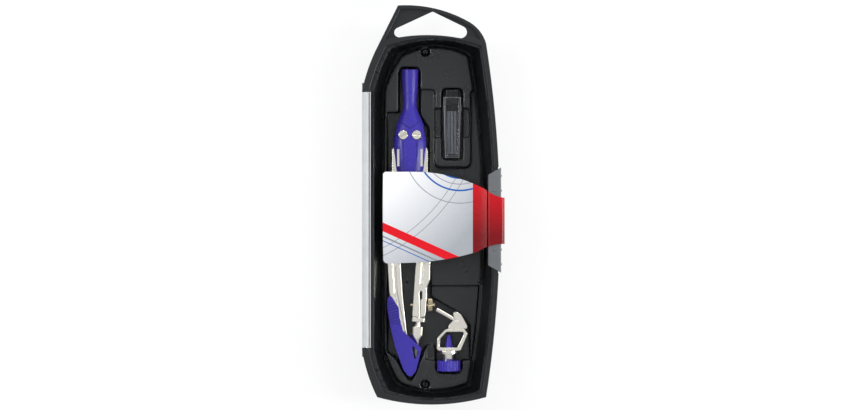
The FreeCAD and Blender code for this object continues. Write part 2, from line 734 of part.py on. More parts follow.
def head_shells():
    grip_top = d.pivot_y + d.grip_length * 0.6
    rings = []
    for i, (share, wide, deep) in enumerate(GRIP_RINGS):
        ring = doc.addObject("Part::Ellipse", f"GripRing{i}")
        ring.MajorRadius, ring.MinorRadius = max(wide, deep), min(wide, deep)
        ring.Placement = Placement(Vector(d.compass_x, grip_top - share * d.grip_length, compass_z),
                                   Rotation(Vector(1, 0, 0), 90))
        rings.append(ring)
    form = doc.addObject("Part::Loft", "HeadForm")
    form.Sections = rings
    form.Solid = True
    form.MaxDegree = 2
    for side, name in ((1, "head_front"), (-1, "head_back")):
        low = compass_z if side > 0 else compass_z - d.head_thickness / 2
        slab = primitive("Box", name + "Slab", (d.compass_x - 15, d.pivot_y - 40, low),
                         Length="30", Width="100", Height=f"{cell('head_thickness')} / 2")
        shell = doc.addObject("Part::Common", name + "Half")
        shell.Base, shell.Tool = form, slab
        room_low = compass_z - d.leg_thickness / 2 - d.leg_gap
        tools = [primitive("Box", name + "LegRoom", (d.compass_x - 15, d.pivot_y - 40, room_low),
                           Length="30", Width="44.6",
                           Height=f"{cell('leg_thickness')} + 2 * {cell('leg_gap')}")]
        face = compass_z + side * d.head_thickness / 2
        for hand in (-1, 1):
            x = d.compass_x + hand * d.pivot_spacing / 2
            tools.append(primitive("Cylinder", name + "Hole", (x, d.pivot_y, compass_z - 10),
                                   Radius=f"{cell('pivot_screw_radius')} + {cell('run_gap')}", Height="20"))
            sink_low = face - d.pivot_sink if side > 0 else face - 1
            tools.append(primitive("Cylinder", name + "Sink", (x, d.pivot_y, sink_low),
                                   Radius=f"{cell('pivot_head_radius')} + 0.15",
                                   Height=f"{cell('pivot_sink')} + 1"))
            slot_x = d.compass_x + hand * 6.5
            tools.append(primitive("Box", name + "Window", (slot_x - 0.65, d.pivot_y - 17.4, compass_z - 10),
                                   Length="1.3", Width="9.6", Height="20"))
        keep(cut(name + "Shell", shell, group("MultiFuse", name + "Cuts", tools)), name)


def pivots():
    heads, nuts = [], []
    front = compass_z + d.head_thickness / 2
    back = compass_z - d.head_thickness / 2
    for hand in (-1, 1):
        x = d.compass_x + hand * d.pivot_spacing / 2
        shank = primitive("Cylinder", "PivotShank", (x, d.pivot_y, back + 0.2),
                          Radius=cell("pivot_screw_radius"), Height=f"{cell('head_thickness')} - 0.3")
        head = primitive("Cylinder", "PivotHead", (x, d.pivot_y, front - d.pivot_sink),
                         Radius=cell("pivot_head_radius"), Height=cell("pivot_head_depth"))
        slot = primitive("Box", "PivotSlot", (0, 0, 0), Length="6", Width=cell("pivot_slot"), Height="1")
        slot_turn = Rotation(Vector(0, 0, 1), 12 - 20 * hand)
        slot.Placement = Placement(Vector(x, d.pivot_y, front), slot_turn).multiply(
            Placement(Vector(-3, -d.pivot_slot / 2, 0), Rotation()))
        heads.append(cut("PivotScrew", group("MultiFuse", "PivotForm", [shank, head]), slot))
        ring = primitive("Cylinder", "NutForm", (x, d.pivot_y, back),
                         Radius=cell("pivot_head_radius"), Height=cell("nut_depth"))
        hole = primitive("Cylinder", "NutHole", (x, d.pivot_y, back - 1),
                         Radius=cell("pivot_screw_radius"), Height="3")
        nuts.append(cut("PivotNut", ring, hole))
    keep(group("Compound", "PivotScrews", heads), "pivot_screws")
    keep(group("Compound", "PivotNuts", nuts), "pivot_nuts")


GEAR_TEETH = 16


def leg_body(label, hand, outline, groove):
    """A pressed leg: toothed head on its pivot, shank with a long groove in front and a channel behind."""
    body = new_body(label)
    pivot = (d.compass_x + hand * d.pivot_spacing / 2, d.pivot_y)
    shank = draw(new_sketch(body, label + "Shank", height=LEG_BACK), outline)
    pad(body, shank, cell("leg_thickness"))
    root = d.pivot_spacing / 2 - 0.5
    disc = circle(new_sketch(body, label + "Disc", height=LEG_BACK), *pivot, root)
    pad(body, disc, cell("leg_thickness"))
    module = d.pivot_spacing / GEAR_TEETH
    tooth = new_sketch(body, label + "Teeth", height=LEG_BACK)
    pitch = 2 * math.pi / GEAR_TEETH
    facing = math.pi if hand > 0 else 0.0
    spread = (-1.5, -0.5, 0.5, 1.5) if hand > 0 else (-2, -1, 0, 1, 2)
    for step in spread:
        angle = facing + step * pitch
        ring = [(root - 0.3, -0.44), (d.pivot_spacing / 2 - 0.02, -0.3), (d.pivot_spacing / 2 + 0.36, -0.16)]
        ring += [(reach, -wide) for reach, wide in reversed(ring)]
        points = [(pivot[0] + reach * math.cos(angle) - wide * module / 0.475 * math.sin(angle),
                   pivot[1] + reach * math.sin(angle) + wide * module / 0.475 * math.cos(angle))
                  for reach, wide in ring]
        draw(tooth, (points[0], [(point,) for point in points[1:] + points[:1]]))
    pad(body, tooth, cell("leg_thickness"))
    bore = circle(new_sketch(body, label + "Bore", height=cell("rim_height")), *pivot,
                  d.pivot_screw_radius + d.run_gap)
    pocket(body, bore, cell("rim_height"))
    flute = draw(new_sketch(body, label + "Flute", height=LEG_FRONT), groove)
    pocket(body, flute, cell("flute_depth"))
    behind = draw(new_sketch(body, label + "Channel", height=LEG_BACK), groove)
    pocket(body, behind, cell("channel_depth"), True)
    return body


def left_outline():
    return rounded([
        (-21.6, 31.0, 2.0), (-21.7, 18.0, 20.0), (-24.2, -32.0, 40.0), (-23.2, -49.0, 20.0),
        (-13.9, -82.0, 0.8), (-10.9, -81.0, 0.8), (-13.7, -70.0, 10.0), (-15.9, -50.0, 20.0),
        (-17.0, -32.0, 40.0), (-13.6, 10.0, 10.0), (-12.6, 33.0, 0.5), (-14.0, 35.8, 0),
        (-17.0, 35.8, 0)])


def right_outline():
    return rounded([
        (-1.8, 31.0, 2.0), (-1.7, 18.0, 20.0), (-0.5, -32.0, 10.0), (-0.7, -41.8, 1.5),
        (-2.3, -45.6, 1.5), (-2.3, -52.0, 5.0), (-3.3, -62.1, 0.3), (-10.4, -62.1, 0.3),
        (-9.3, -46.0, 20.0), (-8.2, -32.0, 40.0), (-9.8, 10.0, 10.0), (-10.8, 33.0, 0.5),
        (-9.4, 35.8, 0), (-6.4, 35.8, 0)])


def strip(points, width):
    """A narrow strip of a width along a line of points."""
    left = [(x - width / 2, y) for x, y in points]
    right = [(x + width / 2, y) for x, y in points]
    ring = left + right[::-1]
    return ring[0], [(point,) for point in ring[1:] + ring[:1]]


def legs():
    left_groove = strip([(-17.6, 12.0), (-20.6, -32.0), (-19.5, -49.0), (-14.8, -72.0)], d.flute_width)
    right_groove = strip([(-5.8, 12.0), (-4.4, -32.0), (-5.2, -44.0)], d.flute_width)
    leg_body("left_leg", -1, left_outline(), left_groove)
    body = leg_body("right_leg", 1, right_outline(), right_groove)
    slot = new_sketch(body, "ClampSlot", height=cell("rim_height"))
    draw(slot, box_outline(-6.4, -52.4, -4.9, -48.0))
    pocket(body, slot, cell("rim_height"))
    slit = new_sketch(body, "ClampSlit", height=cell("rim_height"))
    draw(slit, box_outline(-6.3, -64.0, -5.9, -52.0))
    pocket(body, slit, cell("rim_height"))
    way = new_sketch(body, "ScrewWay", "YZ_Plane", "-20")
    circle(way, CLAMP_Y, compass_z, d.clamp_screw_radius + d.run_gap)
    pocket(body, way, "30", True)
    stem_axis = holder_place()
    stem = body.newObject("PartDesign::SubtractiveCylinder", "StemBore")
    stem.setExpression("Radius", f"{cell('lead_radius')} + 0.4 + {cell('run_gap')}")
    stem.Height = 4.0
    stem.Placement = stem_axis.multiply(Placement(Vector(0, 0, -4.0), Rotation()))


CLAMP_Y = -55.6


def holder_place():
    """The lead holder's axis: from the foot of the right leg, down and a little to the left."""
    turn = Rotation(Vector(0, 0, 1), -d.holder_tilt).multiply(Rotation(Vector(1, 0, 0), 90))
    return Placement(Vector(-6.9, -62.15, compass_z), turn)


def lead_holder():
    place = holder_place()
    shapes = []

    def turned(kind, name, start, **sizes):
        made = primitive(kind, name, (0, 0, 0), **sizes)
        made.Placement = place.multiply(Placement(Vector(0, 0, start), Rotation()))
        shapes.append(made)
        return made

    turned("Cylinder", "Stem", -3.9, Radius=cell("lead_radius") + " + 0.4", Height="4.8")
    turned("Cylinder", "Collar", 0.45, Radius=cell("holder_collar"), Height="2.4")
    turned("Cylinder", "Neck", 2.4, Radius=cell("lead_radius") + " + 0.6", Height="3.4")
    turned("Cylinder", "Chuck", 5.6, Radius=cell("chuck_radius"), Height="4.6")
    turned("Cone", "ChuckTaper", 10.2, Radius1=cell("chuck_radius"), Radius2=cell("lead_radius") + " + 0.5",
           Height="5.2")
    form = group("MultiFuse", "HolderForm", shapes)
    slab = primitive("Box", "HolderSlab", (d.compass_x - 10, -100, compass_z - 2.7), Length="40", Width="60",
                     Height="5.4")
    flat = doc.addObject("Part::Common", "HolderFlat")
    flat.Base, flat.Tool = form, slab
    bore = primitive("Cylinder", "LeadBore", (0, 0, 0), Radius=cell("lead_radius") + " + " + cell("run_gap"),
                     Height="40")
    bore.Placement = place.multiply(Placement(Vector(0, 0, 3.0), Rotation()))
    slit = primitive("Box", "ChuckSlit", (0, 0, 0), Length="20", Width="0.5", Height="14")
    slit.Placement = place.multiply(Placement(Vector(-10, -0.25, 6.6), Rotation()))
    keep(cut("Holder", flat, group("MultiFuse", "HolderCuts", [bore, slit])), "lead_holder")
    lead = primitive("Cylinder", "Lead", (0, 0, 0), Radius=cell("lead_radius"), Height="17")
    lead.Placement = place.multiply(Placement(Vector(0, 0, 3.0), Rotation()))
    point = primitive("Cone", "LeadPoint", (0, 0, 0), Radius1=cell("lead_radius"), Radius2="0.2",
                      Height=cell("lead_point"))
    point.Placement = place.multiply(Placement(Vector(0, 0, 20.0), Rotation()))
    keep(group("MultiFuse", "LeadForm", [lead, point]), "compass_lead")


def needle_place():
    return Placement(Vector(-12.6, -79.5, compass_z), Rotation(Vector(0, 0, 1), 8).multiply(
        Rotation(Vector(1, 0, 0), 90)))


def needle():
    place = needle_place()
    shank = primitive("Cylinder", "NeedleShank", (0, 0, 0), Radius=cell("needle_radius"), Height="8")
    shank.Placement = place.multiply(Placement(Vector(0, 0, 2.6), Rotation()))
    point = primitive("Cone", "NeedlePoint", (0, 0, 0), Radius1=cell("needle_radius"), Radius2="0.05",
                      Height=cell("needle_point"))
    point.Placement = place.multiply(Placement(Vector(0, 0, 10.6), Rotation()))
    keep(group("MultiFuse", "NeedleForm", [shank, point]), "needle")


def guard():
    body = new_body("needle_guard")
    low = f"{COMPASS_MIDDLE} - {cell('guard_thickness')} / 2"
    outline = rounded([
        (-24.4, -52.0, 1.2), (-22.2, -50.3, 0.9), (-17.9, -57.2, 0.8), (-17.6, -61.6, 2.0),
        (-15.6, -70.0, 2.0), (-5.2, -79.7, 1.6), (-8.4, -92.5, 4.0), (-11.7, -96.2, 1.9),
        (-15.2, -92.0, 4.0), (-20.0, -79.0, 10.0), (-22.2, -69.8, 10.0), (-24.4, -57.5, 8.0)])
    form = draw(new_sketch(body, "GuardForm", height=low), outline)
    pad(body, form, cell("guard_thickness"))
    window = draw(new_sketch(body, "GuardWindow", height=cell("rim_height")), rounded([
        (-10.6, -77.6, 0.5), (-6.7, -81.6, 0.8), (-9.3, -87.0, 0.7)]))
    pocket(body, window, cell("rim_height"))
    leg_low = f"{LEG_BACK} - {cell('guard_gap')}"
    gap = d.guard_gap
    room = rounded([
        (-26.0, -30.0, 0), (-23.6, -49.0, 4.0), (-14.2, -82.0 - gap, 0.8), (-10.6, -81.2 - gap, 0.8),
        (-13.45, -70.0, 4.0), (-15.6, -50.0, 4.0), (-13.0, -30.0, 0)])
    cavity = draw(new_sketch(body, "LegRoom", height=leg_low), room)
    pocket(body, cavity, f"{cell('leg_thickness')} + 2 * {cell('guard_gap')}", True)
    for name, place, radius, length in (("NeedleRoom", needle_place(), d.needle_radius + 0.3, 15.0),
                                        ("LeadRoom", holder_place(), d.lead_radius + 1.7, 23.0)):
        room = body.newObject("PartDesign::SubtractiveCylinder", name)
        room.Radius, room.Height = radius, length
        room.Placement = place


WHEEL_NOTCHES = 20
KNOB_NOTCHES = 24


def knurled(body, name, centre, radius, length, count, role, height, depth=0.35):
    """A round knob with notches round its edge, made as one pad."""
    sketch = new_sketch(body, name, role, height)
    step = math.pi / count
    points = []
    for i in range(2 * count):
        reach = radius if i % 2 else radius - depth
        points.append((centre[0] + reach * math.cos(i * step), centre[1] + reach * math.sin(i * step)))
    draw(sketch, (points[0], [(point,) for point in points[1:] + points[:1]]))
    return pad(body, sketch, length)


def clamp_screw():
    body = new_body("clamp_screw")
    wheel_x = -1.6
    knurled(body, "ClampWheel", (CLAMP_Y, compass_z), d.clamp_wheel_radius, cell("clamp_wheel_width"),
            WHEEL_NOTCHES, "YZ_Plane", str(wheel_x))
    shank_start = -11.4
    shank = new_sketch(body, "ClampShank", "YZ_Plane", str(shank_start))
    circle(shank, CLAMP_Y, compass_z, d.clamp_screw_radius)
    pad(body, shank, str(wheel_x - shank_start + d.clamp_wheel_width + d.clamp_screw_end))


# Spare leads

def lead_box():
    body = new_body("lead_box")
    small = d.box_width - 2 * d.box_taper
    low_depth = d.box_depth - d.box_taper
    sections = {}
    for name, inside in (("Outer", 0.0), ("Inner", d.box_wall)):
        sections[name] = []
        for end, width, deep in (("Mouth", d.box_width, d.box_depth), ("Foot", small, low_depth)):
            far = d.box_length - inside if end == "Foot" else 0.0
            sketch = new_sketch(body, "Box" + name + end, "XZ_Plane", str(far - d.box_top))
            draw(sketch, box_outline(d.box_x - width / 2 + inside, d.pocket_floor + inside,
                                     d.box_x + width / 2 - inside, d.pocket_floor + deep - inside,
                                     1.4 - inside))
            sections[name].append(sketch)
        plain_loft(body, "AdditiveLoft" if name == "Outer" else "SubtractiveLoft", sections[name])

    stopper = new_body("lead_box_stopper")
    plug_side = d.box_wall + 0.22
    plug = new_sketch(stopper, "StopperPlug", "XZ_Plane", str(-d.box_top))
    box_front = d.pocket_floor + d.box_depth
    plug_half = d.box_width / 2 - plug_side
    draw(plug, box_outline(d.box_x - plug_half, d.pocket_floor + plug_side,
                           d.box_x + plug_half, box_front - plug_side, 0.4))
    pad(stopper, plug, cell("plug_length"))
    plug_head = new_sketch(stopper, "StopperHead", "XZ_Plane", str(-d.box_top - d.plug_length))
    draw(plug_head, box_outline(d.box_x - 3.6, d.pocket_floor + 0.6, d.box_x + 3.6, box_front - 0.8, 0.8))
    pad(stopper, plug_head, cell("plug_length"))
    spares = []
    for across in (-1.9, 0.0, 1.9):
        spares.append(primitive("Cylinder", "SpareLead", (d.box_x + across, d.box_top - d.box_length + 2.0,
                                                          d.pocket_floor + d.box_wall + d.lead_radius),
                                ALONG_Y, Radius=cell("lead_radius") + " - 0.1", Height="24"))
    keep(group("Compound", "SpareLeads", spares), "spare_leads")


# Pencil adapter

def adapter():
    ring_low = f"{ADAPTER_MIDDLE} - {cell('ring_height')} / 2"
    foot = d.ring_foot
    strap = d.ring_strap
    body = new_body("adapter_ring")
    loop = new_sketch(body, "Loop", height=ring_low)
    head = foot + d.ring_length
    draw(loop, rounded([(3.2, foot, 1.4), (3.4, foot + 7.0, 4.5), (8.2, head, 2.6), (18.6, head, 2.0),
                        (20.4, foot + 9.4, 1.2), (16.4, foot, 1.4)]))
    draw(loop, rounded([(3.2 + strap, foot + strap, 0.8), (3.4 + strap, foot + 6.6, 3.2),
                        (8.6, head - strap, 1.6), (17.8, head - strap, 1.0),
                        (18.3, foot + 9.2, 0.8), (16.2 - strap, foot + strap, 0.8)]))
    pad(body, loop, cell("ring_height"))
    way = new_sketch(body, "RingScrewWay", "XZ_Plane", str(-foot - strap - 1))
    circle(way, d.adapter_x, adapter_z, d.adapter_screw_radius + d.run_gap)
    pocket(body, way, str(strap + 3), True)

    bracket = new_body("adapter_bracket")
    plate_low = f"{ADAPTER_MIDDLE} - {cell('bracket_plate')} / 2"
    plate = draw(new_sketch(bracket, "BracketPlate", height=plate_low), rounded([
        (9.6, head, 0.4), (20.0, head, 0.4), (20.2, head + 1.7, 0.6), (16.8, head + 7.9, 0.8),
        (14.3, head + 9.4, 0.8), (12.2, head + 8.9, 0.6), (12.9, head + 5.4, 0.6), (9.9, head + 2.0, 0.6)]))
    pad(bracket, plate, cell("bracket_plate"))
    rod_place = Placement(Vector(3.0, -58.0, adapter_z), Rotation(Vector(0, 0, 1), -29.7)).multiply(
        Placement(Vector(), Rotation(Vector(*ALONG_X[0]), ALONG_X[1])))
    socket = bracket.newObject("PartDesign::SubtractiveCylinder", "RodSocket")
    socket.setExpression("Radius", cell("rod_radius") + " - 0.2")
    socket.setExpression("Height", cell("rod_length") + " + 2.0")
    socket.Placement = rod_place
    rod = primitive("Cylinder", "Rod", (0, 0, 0), Radius=cell("rod_radius"),
                    Height=cell("rod_length") + " - 1.2")
    rod.Placement = rod_place
    tenon = primitive("Cylinder", "RodTenon", (0, 0, 0), Radius=cell("rod_radius") + " - 0.2",
                      Height=cell("rod_length") + " + 2.0")
    tenon.Placement = rod_place
    keep(group("MultiFuse", "RodForm", [rod, tenon]), "adapter_rod")

    collar = primitive("Cylinder", "Collar", (d.adapter_x, foot - d.collar_length, adapter_z), ALONG_Y,
                       Radius=cell("knob_radius") + " - 0.6", Height=cell("collar_length"))
    hole = primitive("Cylinder", "CollarHole", (d.adapter_x, foot - d.collar_length - 1, adapter_z), ALONG_Y,
                     Radius=cell("adapter_screw_radius") + " + " + cell("run_gap"),
                     Height=cell("collar_length") + " + 2")
    keep(cut("CollarRing", collar, hole), "adapter_collar")
    neck_end = foot - d.collar_length - d.run_gap
    ferrule = primitive("Cone", "Ferrule", (d.adapter_x, neck_end - d.ferrule_length, adapter_z), ALONG_Y,
                        Radius1="3.4", Radius2="4.1", Height=cell("ferrule_length"))
    core_start = neck_end - d.ferrule_length - 1
    core = primitive("Cylinder", "FerruleCore", (d.adapter_x, core_start, adapter_z), ALONG_Y,
                     Radius=cell("adapter_screw_radius"), Height=cell("ferrule_length") + " + 2")
    keep(cut("FerruleSleeve", ferrule, core), "adapter_ferrule")
    knob = new_body("adapter_knob")
    knob_top = neck_end - d.ferrule_length
    knurled(knob, "KnobEdge", (d.adapter_x, adapter_z), d.knob_radius - 0.1, cell("knob_length"),
            KNOB_NOTCHES, "XZ_Plane", str(-knob_top))
    core_hole = circle(new_sketch(knob, "KnobBore", "XZ_Plane", str(-knob_top)), d.adapter_x, adapter_z,
                       d.adapter_screw_radius)
    pocket(knob, core_hole, "4", True)
    tip_low = foot + strap + d.run_gap
    screw = primitive("Cylinder", "ScrewShank", (d.adapter_x, knob_top - 4, adapter_z), ALONG_Y,
                      Radius=cell("adapter_screw_radius"), Height=str(tip_low - knob_top + 4))
    keep(screw, "adapter_screw")
    tip = primitive("Cone", "PressTip", (d.adapter_x, tip_low, adapter_z), ALONG_Y,
                    Radius1=cell("tip_base"), Radius2=cell("tip_end"), Height=cell("tip_length"))
    keep(tip, "adapter_tip")


for make in (base_shell, studs, hinge, lid, latch, card, tray, head_shells, pivots, legs, lead_holder,
             needle, guard, clamp_screw, lead_box, adapter):
    make()
doc.recompute()

faults = [made.Label for made in doc.Objects if {"Invalid", "Error"} & set(made.State)]
faults += [made.Label for made in PARTS if made.Shape.isNull() or not made.Shape.isValid()]
for made in PARTS:
    print(made.Label, made.Shape.isValid(), len(made.Shape.Solids), round(made.Shape.Volume, 1))
if faults:
    raise SystemExit(f"faulty objects: {faults}")

os.makedirs("parts", exist_ok=True)
for made in PARTS:
    made.Shape.exportStep(f"parts/{made.Label}.step")
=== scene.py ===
import json
import math

import bpy
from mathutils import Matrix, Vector


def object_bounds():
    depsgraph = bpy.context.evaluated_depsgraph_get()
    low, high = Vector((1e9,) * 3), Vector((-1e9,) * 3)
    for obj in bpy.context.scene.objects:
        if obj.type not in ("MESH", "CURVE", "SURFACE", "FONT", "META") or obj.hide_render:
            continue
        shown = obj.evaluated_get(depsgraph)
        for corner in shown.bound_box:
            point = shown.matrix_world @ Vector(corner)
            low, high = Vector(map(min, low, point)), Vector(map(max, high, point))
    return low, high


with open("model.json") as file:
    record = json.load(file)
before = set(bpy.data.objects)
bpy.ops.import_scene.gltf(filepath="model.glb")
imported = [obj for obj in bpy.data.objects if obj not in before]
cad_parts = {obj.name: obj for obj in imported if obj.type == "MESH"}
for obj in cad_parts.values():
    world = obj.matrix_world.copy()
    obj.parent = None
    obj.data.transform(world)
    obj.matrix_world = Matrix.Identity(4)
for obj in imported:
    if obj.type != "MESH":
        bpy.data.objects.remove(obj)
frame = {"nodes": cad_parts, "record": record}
cad_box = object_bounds()
nodes = frame["nodes"]
MM = 0.001

# Camera: the width that the photograph shows at the height of the part's top, and its middle
PHOTO_WIDTH_MM = 473.0
PHOTO_CENTRE_MM = -0.55
CAMERA_HEIGHT = 1.5
SENSOR_MM = 36.0

# Floor: the glow is the share of its own white that it shows, and the rest takes light and shadow
FLOOR_SIZE = 8.0
FLOOR_DROP_MM = 0.4
FLOOR_GLOW = 0.8
FLOOR_COLOUR = (0.8, 0.8, 0.8, 1.0)
FLOOR_ROUGH = 0.9

# Light: each box has its place and size in metres and its power in watts
SOFTBOXES = {
    "left_box": ((-0.8, 0.2, 0.55), (0.25, 0.9), 6.0),
    "top_box": ((0.3, 0.95, 0.7), (0.9, 0.25), 5.0),
    "right_box": ((0.9, -0.1, 0.5), (0.2, 0.9), 9.0),
}
SKY_LEVEL = (0.16, 0.16, 0.17, 1.0)
SKY_TOP = (0.8, 0.81, 0.83, 1.0)

# Noise: scales for each metre, the detail of fine grain, and the part of its range that is used
WANDER_SCALE = 90.0
TINT_SCALE = 140.0
GRAIN_SCALE = 2600.0
CASE_GRAIN_SCALE = 1400.0
POLISH_SCALE = 900.0
POLISH_STRETCH = (1.0, 0.08, 1.0)
HAZE_SCALE = 60.0
PAPER_WANDER_SCALE = 220.0
PAPER_GRAIN_SCALE = 1500.0
FINE_DETAIL = 2.0
NOISE_LOW = 0.3
NOISE_HIGH = 0.7
BEVEL_SAMPLES = 8

# Plastic and metal: how far grain and lines go in, change the colour, and make it smoother or rougher
GRAIN_DEPTH_MM = 0.05
TINT_LIFT = 1.25
PLASTIC_SMOOTHER = 0.05
PLASTIC_ROUGHER = 0.07
VIOLET_SPECULAR = 0.3
POLISH_DEPTH_MM = 0.01
POLISH_BUMP = 0.02
POLISH_SHADE = 0.86
METAL_SMOOTHER = 0.05
METAL_ROUGHER = 0.08

# Case: below this height its walls are polished, and their darker colour is painted shade
RIM_FOOT_MM = 22.4
RIM_FADE_MM = 0.3
RIM_ROUGH = 0.4
WALL_ROUGH = 0.3
CASE_SMOOTHER = 0.03
CASE_ROUGHER = 0.04
CASE_SPECULAR = 0.35
CASE_GRAIN = 0.012
CASE_EDGE_MM = 0.6

# Tray: the grain of its even mesh, the passes that draw its edges round, and the share of faces kept
TRAY_GRAIN_MM = 0.4
TRAY_PASSES = 22
TRAY_PASS_FACTOR = 0.5
TRAY_SHARE = 0.12

# Compass head: a pressed vee above the screws, and a tie with slanted arms below them, darkened in
# colour as painted shade
HEAD_AXIS_MM = -11.7
GROOVE_MM = 0.6
GROOVE_DEPTH_MM = 0.3
GROOVE_BUMP = 0.6
GROOVE_SHADE = 0.45
VEE_TIP_MM = 42.4
VEE_SLOPE = 0.7
VEE_HALF_MM = 6.6
VEE_FADE_MM = 0.4
TIE_MM = 0.55
TIE_HALF_MM = 3.9
TIE_TOP_MM = 35.6
TIE_FADE_MM = 0.2
ARM_SLOPE = 0.8
ARM_REACH_MM = 4.8
HEAD_EDGE_MM = 0.5
HEAD_ROUGH = (0.24, 0.34)

# Needle guard: slanted finger ridges near its upper end, darker in colour along them as painted shade
RIDGE_PITCH_MM = 1.7
RIDGE_MIDDLE_MM = -60.0
RIDGE_SPAN_MM = 13.0
RIDGE_SLANT = -0.35
RIDGE_DEPTH_MM = 0.3
RIDGE_BUMP = 0.5
RIDGE_SHADE = 0.6
GUARD_EDGE_MM = 0.6
GUARD_ROUGH = (0.26, 0.36)

# Clear plastic: its gloss grows towards grazing, and so does a white painted edge highlight where it
# has one
CLEAR_IOR = 1.45
CLEAR_WANDER = 0.15
EDGE_HIGHLIGHT_COLOUR = (0.85, 0.87, 0.89, 1.0)
EDGE_HIGHLIGHT_POWER = 1.8

# Card: arcs about two centres and slanted bands, each with its place, width and ink
LINE_SOFT_MM = 0.08
SWEEP_CENTRE_MM = (-70.0, 62.0)
SWEEP_REACH_MM = 170.0
SWEEP_ARCS_MM = ((62.0, 0.4, "grey"), (66.0, 1.4, "white"), (96.0, 0.4, "grey"), (100.0, 0.4, "grey"))
FAN_CENTRE_MM = (16.0, 32.0)
FAN_ARCS_MM = ((16.0, 3.4, "blue"), (20.5, 0.5, "grey"), (24.0, 1.0, "blue"), (31.0, 0.5, "grey"))
SLANT = 0.45
SLANT_BANDS_MM = ((-24.0, 5.0, "red"), (-29.2, 1.0, "grey"), (-31.6, 0.6, "blue"))
TAB_EDGE_MM = 23.0
TAB_FADE = 0.012
TAB_MIDDLE = 0.5
PAPER_ROUGH = (0.22, 0.3)
PAPER_SPECULAR = 0.2
PAPER_BUMP = 0.02
PAPER_DEPTH_MM = 0.02


def linear(red, green, blue):
    """A colour written as it looks on screen (0 to 255), as the linear values a shader takes."""
    def one(value):
        value /= 255
        return value / 12.92 if value <= 0.04045 else ((value + 0.055) / 1.055) ** 2.4
    return (one(red), one(green), one(blue), 1.0)


def scaled(colour, factor):
    """A lighter or darker colour of the same hue."""
    return tuple(min(1.0, value * factor) for value in colour[:3]) + (1.0,)


class Shading:
    """A material's node tree, with short calls to add and join nodes."""

    def __init__(self, name):
        self.material = bpy.data.materials.new(name)
        self.material.use_nodes = True
        self.tree = self.material.node_tree
        self.shader = self.tree.nodes["Principled BSDF"]
        self.output = self.tree.nodes["Material Output"]

    def add(self, kind, **settings):
        made = self.tree.nodes.new("ShaderNode" + kind)
        for name, value in settings.items():
            setattr(made, name, value)
        return made

    def join(self, source, target):
        self.tree.links.new(source, target)

    def fix(self, socket, value):
        """Sets a value that is the same all over the surface."""
        self.shader.inputs[socket].default_value = value

    def drive(self, socket, source):
        """Takes a value of the surface from a node."""
        self.join(source, self.shader.inputs[socket])

    def place(self):
        return self.add("TexCoord").outputs["Object"]

    def value(self, operation, first, second=None, third=None, clamp=False):
        made = self.add("Math", operation=operation, use_clamp=clamp)
        for socket, item in zip(made.inputs, (first, second, third)):
            if isinstance(item, (int, float)):
                socket.default_value = item
            elif item is not None:
                self.join(item, socket)
        return made.outputs[0]

    def noise(self, scale, detail=3.0, stretch=(1.0, 1.0, 1.0)):
        mapping = self.add("Mapping")
        mapping.inputs["Scale"].default_value = stretch
        self.join(self.place(), mapping.inputs["Vector"])
        made = self.add("TexNoise")
        made.inputs["Scale"].default_value = scale
        made.inputs["Detail"].default_value = detail
        self.join(mapping.outputs["Vector"], made.inputs["Vector"])
        return made.outputs["Fac"]

    def millimetres(self, axes):
        """Where a point of the part is along the named axes, in millimetres."""
        parted = self.add("SeparateXYZ")
        self.join(self.place(), parted.inputs[0])
        return [self.value("MULTIPLY", parted.outputs[axis], 1 / MM) for axis in axes]

    def inside(self, source, limit, soft=LINE_SOFT_MM):
        """1 where the source is under the limit, 0 past it, with a soft step between them."""
        return self.value("DIVIDE", self.value("SUBTRACT", limit, source), soft, clamp=True)

    def line(self, source, middle, width):
        away = self.value("ABSOLUTE", self.value("SUBTRACT", source, middle))
        return self.inside(away, width / 2)

    def spread(self, source, low, high):
        """Spreads the middle of a noise's range over the wanted range."""
        made = self.add("MapRange")
        made.inputs["From Min"].default_value = NOISE_LOW
        made.inputs["From Max"].default_value = NOISE_HIGH
        made.inputs["To Min"].default_value = low
        made.inputs["To Max"].default_value = high
        self.join(source, made.inputs["Value"])
        return made.outputs["Result"]

    def wander(self, low, high, scale=WANDER_SCALE):
        """A value that changes slowly over the surface."""
        return self.spread(self.noise(scale), low, high)

    def blend(self, share, first, second):
        made = self.add("Mix", data_type="RGBA")
        colours = [socket for socket in made.inputs if socket.type == "RGBA"]
        self.join(share, made.inputs["Factor"])
        for socket, item in zip(colours, (first, second)):
            if isinstance(item, tuple):
                socket.default_value = item
            else:
                self.join(item, socket)
        return next(socket for socket in made.outputs if socket.type == "RGBA")

    def mix(self, share, first, second):
        made = self.add("MixShader")
        self.join(share, made.inputs["Fac"])
        self.join(first.outputs[0], made.inputs[1])
        self.join(second.outputs[0], made.inputs[2])
        return made

    def rounded(self, edge_mm):
        """Normals that show edges with a small round."""
        made = self.add("Bevel", samples=BEVEL_SAMPLES)
        made.inputs["Radius"].default_value = edge_mm * MM
        return made.outputs["Normal"]

    def bump(self, source, strength, depth_mm, edge_mm=0.0):
        made = self.add("Bump")
        made.inputs["Strength"].default_value = strength
        made.inputs["Distance"].default_value = depth_mm * MM
        self.join(source, made.inputs["Height"])
        if edge_mm:
            self.join(self.rounded(edge_mm), made.inputs["Normal"])
        self.drive("Normal", made.outputs["Normal"])


def moulded(name, colour, rough, grain=0.04, edge_mm=0.35, specular=0.3):
    """Moulded plastic: a fine sparked grain, soft edges and a roughness that wanders a little."""
    made = Shading(name)
    made.fix("Specular IOR Level", specular)
    made.drive("Roughness", made.wander(rough - PLASTIC_SMOOTHER, rough + PLASTIC_ROUGHER))
    tint = scaled(colour, TINT_LIFT)
    made.drive("Base Color", made.blend(made.noise(TINT_SCALE, FINE_DETAIL), colour, tint))
    made.bump(made.noise(GRAIN_SCALE, FINE_DETAIL), grain, GRAIN_DEPTH_MM, edge_mm)
    return made.material


